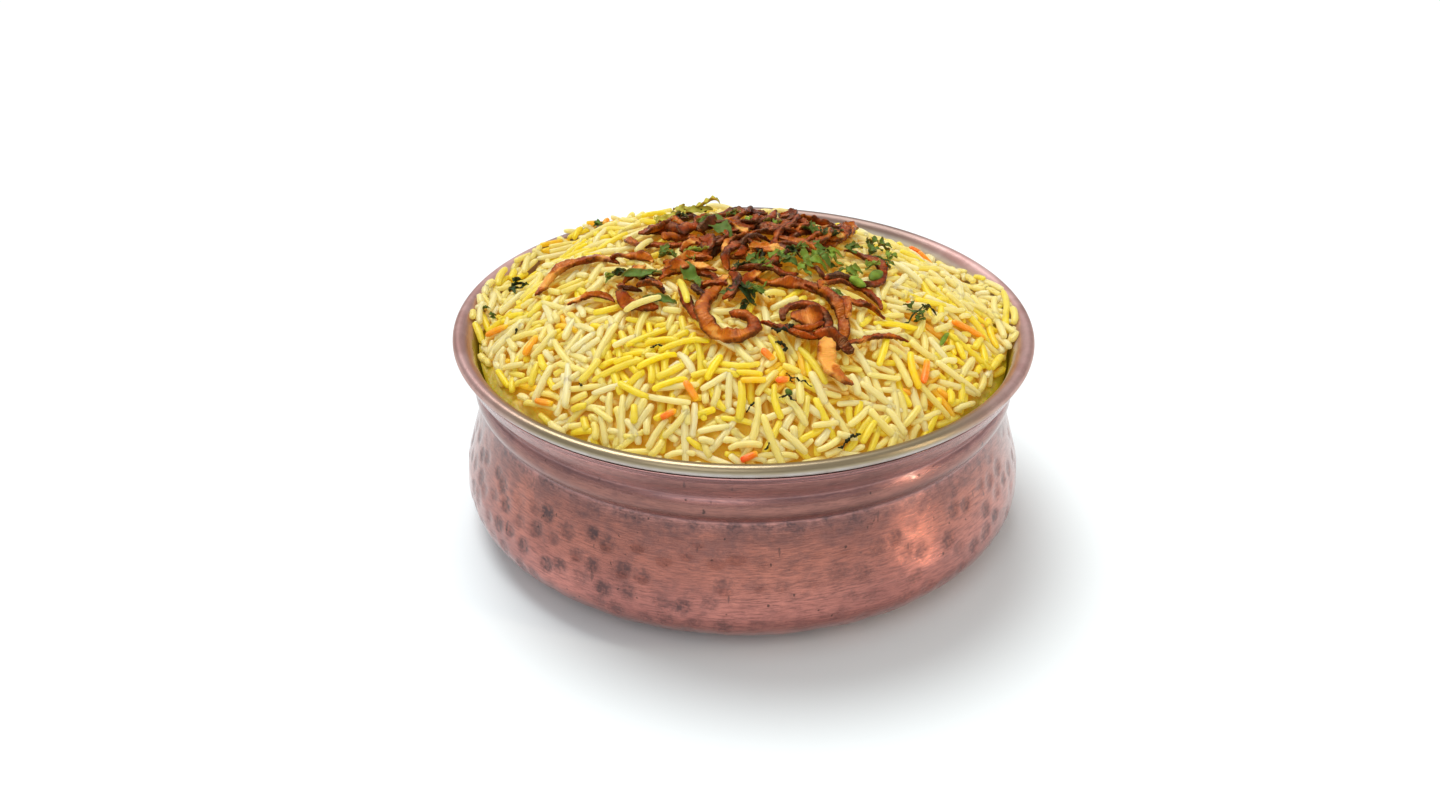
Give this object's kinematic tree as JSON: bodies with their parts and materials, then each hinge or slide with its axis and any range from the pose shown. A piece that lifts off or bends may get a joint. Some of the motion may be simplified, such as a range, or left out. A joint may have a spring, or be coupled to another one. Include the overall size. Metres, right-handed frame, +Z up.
{
  "type": "biryani in a copper serving bowl",
  "caption": "Long-grain rice heaped in a hammered copper serving bowl with a rolled steel rim, topped with curled fried onion and coriander leaves.",
  "frame": {"origin": "centre of the bowl's base, on the surface that it stands on", "axes": "+Z up along the bowl's axis; +X to the right and -Y towards a viewer who faces the side with the curled onion strip"},
  "size_m": [0.18, 0.18, 0.0922],
  "materials": {
    "copper": "hammered and brushed copper, dulled in the dents and grooves",
    "steel": "satin steel, with a warm rolled rim and a yellow oil film near the rice",
    "rice": "cooked long rice, cream to yellow, slightly moist",
    "yellow_rice": "rice stained deep yellow to orange",
    "fried_onion": "crisp red-brown fried onion, oily, pale at the thick ends",
    "herb": "chopped coriander leaf and stem",
    "spice": "small orange, red and charred bits"
  },
  "bodies": {
    "root": {"copper_shell": "copper", "onion_back_arc": "fried_onion", "onion_curl": "fried_onion", "onion_curl_back": "fried_onion", "onion_dark_fold": "fried_onion", "onion_far_arc": "fried_onion", "onion_front_thin": "fried_onion", "onion_left_hook": "fried_onion", "onion_left_long": "fried_onion", "onion_left_thin": "fried_onion", "onion_pale_end": "fried_onion", "onion_right_arc": "fried_onion", "onion_right_strip": "fried_onion", "onion_right_thin": "fried_onion", "onion_ring": "fried_onion", "onion_tangle_back": "fried_onion", "onion_tangle_centre": "fried_onion", "onion_tangle_cross": "fried_onion", "onion_tangle_far_left": "fried_onion", "onion_tangle_far_right": "fried_onion", "onion_tangle_front": "fried_onion", "onion_tangle_front_left": "fried_onion", "onion_tangle_knot": "fried_onion", "onion_tangle_left": "fried_onion", "onion_tangle_loop": "fried_onion", "onion_tangle_mid": "fried_onion", "onion_tangle_rear": "fried_onion", "onion_tangle_right": "fried_onion", "onion_tangle_under": "fried_onion", "onion_wave_left": "fried_onion", "onion_wave_right": "fried_onion", "rice_heap": "rice", "steel_liner": "steel"}
  },
  "joints": []
}
